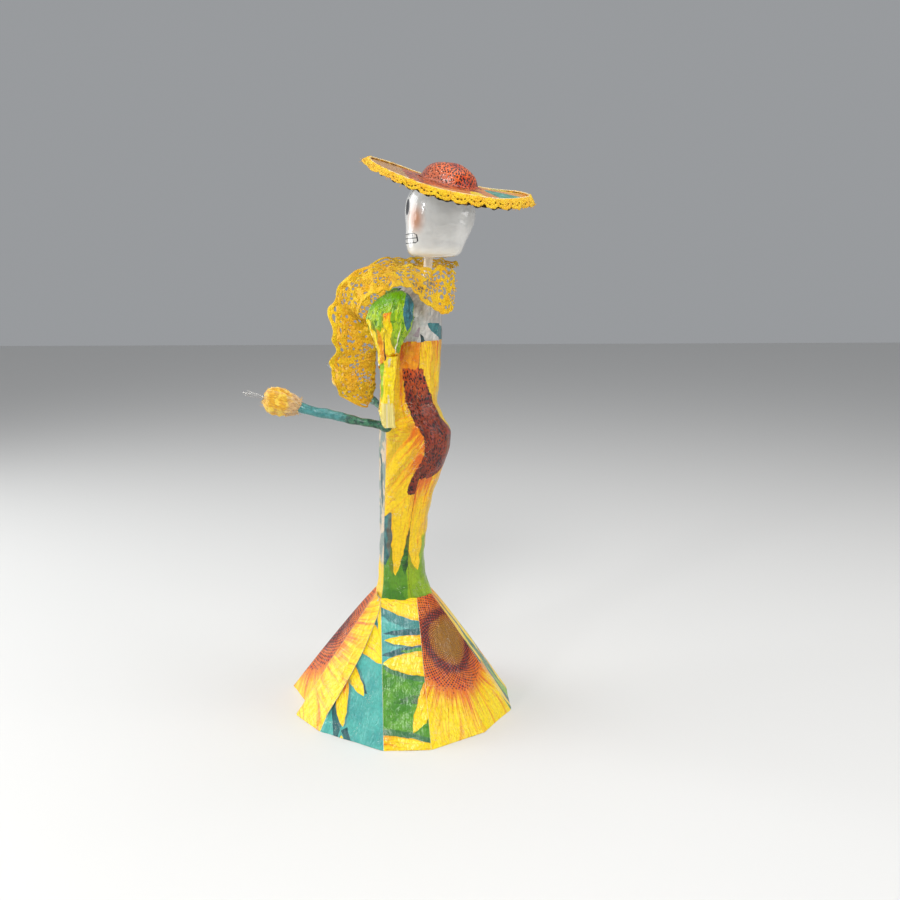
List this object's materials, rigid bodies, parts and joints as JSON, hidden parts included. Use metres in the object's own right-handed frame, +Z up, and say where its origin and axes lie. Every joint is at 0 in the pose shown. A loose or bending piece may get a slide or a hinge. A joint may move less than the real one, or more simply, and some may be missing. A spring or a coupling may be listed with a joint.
{
  "type": "papier-mache catrina figure",
  "caption": "Standing skeleton lady in a flared paper-strip dress, with a lace shawl, bent wire arms and a wide lace-edged hat, for display on a shelf or table.",
  "frame": {"origin": "on the ground under the middle of the skirt's hem", "axes": "+Z up, the figure faces -Y and its left hand is on +X"},
  "size_m": [0.1855, 0.1828, 0.3664],
  "materials": {
    "printed_card": "sunflower-print paper on card, gloss varnish",
    "printed_paper": "sunflower-print paper on layered paper, gloss varnish",
    "green_paper": "crumpled printed paper, gloss varnish",
    "teal_paper": "printed paper rolled on wire, gloss varnish",
    "frayed_cloth": "gathered, frayed cloth",
    "fine_wire": "bare fine wire",
    "gold_lace": "stiffened cotton lace",
    "white_enamel": "white enamel over papier-mache, gloss",
    "hat_card": "printed paper on card, gloss varnish",
    "dark_lining": "dark paper, satin",
    "dowel_wood": "turned softwood, matt",
    "base_card": "plain card, matt",
    "rolled_newspaper": "rolled newspaper, matt",
    "armature_wire": "bare wire"
  },
  "bodies": {
    "figure": {"arm_wire": "armature_wire", "base_board": "base_card", "bodice_yoke": "printed_paper", "dowel": "dowel_wood", "dress_strip_back": "printed_paper", "dress_strip_front": "printed_paper", "dress_strip_left": "printed_paper", "dress_strip_right": "printed_paper", "lace_shawl": "gold_lace", "paper_core": "rolled_newspaper", "skirt_gore_back": "printed_card", "skirt_gore_back_left": "printed_card", "skirt_gore_back_right": "printed_card", "skirt_gore_front": "printed_card", "skirt_gore_front_left": "printed_card", "skirt_gore_front_right": "printed_card", "skirt_gore_left": "printed_card", "skirt_gore_left_front": "printed_card", "skirt_gore_right": "printed_card", "skirt_gore_right_front": "printed_card", "sleeve_left": "green_paper", "sleeve_right": "green_paper", "upper_arm_left": "green_paper", "upper_arm_right": "green_paper"},
    "head": {"skull": "white_enamel", "hat_brim": "hat_card", "hat_crown": "hat_card", "brim_lining": "dark_lining", "hat_lace": "gold_lace"},
    "left_forearm": {"forearm_left": "teal_paper", "cuff_left": "frayed_cloth", "finger_wires_left": "fine_wire"},
    "right_forearm": {"forearm_right": "teal_paper", "cuff_right": "frayed_cloth", "finger_wires_right": "fine_wire"}
  },
  "joints": [
    {"name": "head_turn", "type": "hinge", "parent": "figure", "child": "head", "pos_m": [0, 0.016, 0.3], "axis": [0, 0.0731, 0.9973], "range_deg": [-60, 60]},
    {"name": "elbow_left", "type": "hinge", "parent": "figure", "child": "left_forearm", "pos_m": [0.0335, -0.0115, 0.199], "axis": [-1, 0, 0], "range_deg": [-20, 40]},
    {"name": "elbow_right", "type": "hinge", "parent": "figure", "child": "right_forearm", "pos_m": [-0.0335, -0.0115, 0.199], "axis": [-0.5, 0.866, 0], "range_deg": [-20, 40]}
  ]
}
